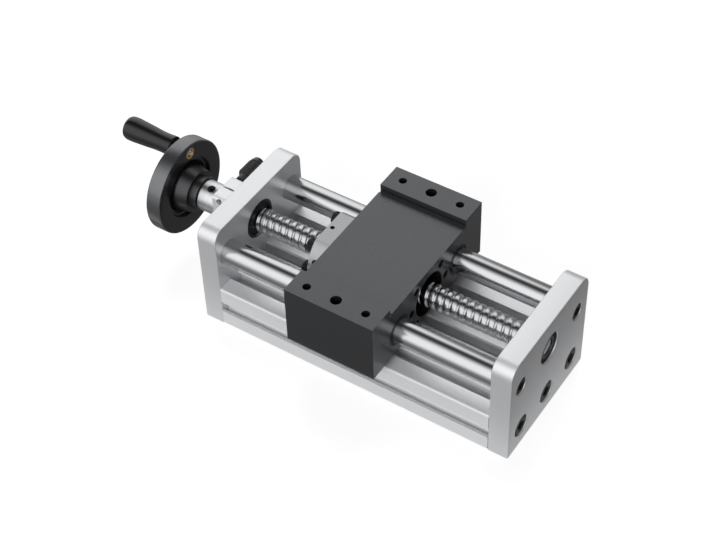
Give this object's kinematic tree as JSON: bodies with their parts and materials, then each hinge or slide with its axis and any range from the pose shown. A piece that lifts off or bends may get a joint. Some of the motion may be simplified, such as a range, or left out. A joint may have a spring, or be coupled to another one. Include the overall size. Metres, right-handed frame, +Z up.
{
  "type": "ball screw linear stage",
  "caption": "Hand-driven linear stage with a ball screw, two guide rods, a slotted base, a bolted carriage and a spindle lock.",
  "frame": {"origin": "centre of the base's underside, halfway between the outer faces of the end plates", "axes": "+X along the screw from the handwheel to the free end plate, +Y towards the side with the lock knob, +Z up"},
  "size_m": [0.3033, 0.121, 0.086],
  "materials": {
    "profile": "natural anodised extrusion",
    "plate": "bead blasted, natural anodised",
    "rod": "hard chrome, ground and polished",
    "black_fastener": "black oxide",
    "bearing_steel": "ground",
    "seal": "satin",
    "ring_steel": "phosphated spring steel",
    "clamp": "fine turned and milled",
    "knob": "satin black",
    "screw": "ground steel",
    "wheel": "polished dark rim, satin face",
    "washer": "zinc plated",
    "brass": "turned",
    "spindle": "turned",
    "grip": "black, satin to gloss",
    "carriage": "black anodised",
    "bushing": "sintered bronze",
    "nut": "ground steel"
  },
  "bodies": {
    "base": {"base_profile": "profile", "drive_end_plate": "plate", "free_end_plate": "plate", "near_guide_rod": "rod", "far_guide_rod": "rod", "rod_screws": "black_fastener", "base_screws": "black_fastener", "drive_bearing_outer_ring": "bearing_steel", "free_bearing_outer_ring": "bearing_steel", "bearing_seals": "seal", "housing_retaining_ring": "ring_steel", "spindle_clamp": "clamp", "clamp_screws": "black_fastener"},
    "lock": {"lock_knob": "knob", "lock_stud": "ring_steel"},
    "screw": {"ball_screw": "screw", "bearing_inner_rings": "bearing_steel", "journal_retaining_ring": "ring_steel", "spindle_sleeve": "clamp", "sleeve_set_screw": "black_fastener", "handwheel": "wheel", "wheel_washer": "washer", "wheel_screw": "black_fastener", "handle_insert": "brass", "handle_spindle": "spindle"},
    "grip": {"handle_grip": "grip"},
    "carriage": {"carriage_block": "carriage", "rod_bushings": "bushing", "rod_seals": "seal", "ball_nut": "nut", "nut_screws": "black_fastener", "nut_wipers": "seal"}
  },
  "joints": [
    {"name": "screw_spin", "type": "hinge", "parent": "base", "child": "screw", "pos_m": [0, 0, 0.053], "axis": [1, 0, 0], "range_deg": [-4750, 3165]},
    {"name": "carriage_slide", "type": "slide", "parent": "base", "child": "carriage", "axis": [1, 0, 0], "range_m": [-0.044, 0.066]},
    {"name": "grip_spin", "type": "hinge", "parent": "screw", "child": "grip", "pos_m": [-0.175, 0.00386, 0.07821], "axis": [1, 0, 0], "continuous": true},
    {"name": "lock_turn", "type": "hinge", "parent": "base", "child": "lock", "pos_m": [-0.1162, 0.02, 0.0642], "axis": [0, 1, 0], "range_deg": [0, 270]}
  ],
  "couplings": [
    {"joint": "carriage_slide", "follows": "screw_spin", "m_per_rad": -0.00079577}
  ]
}
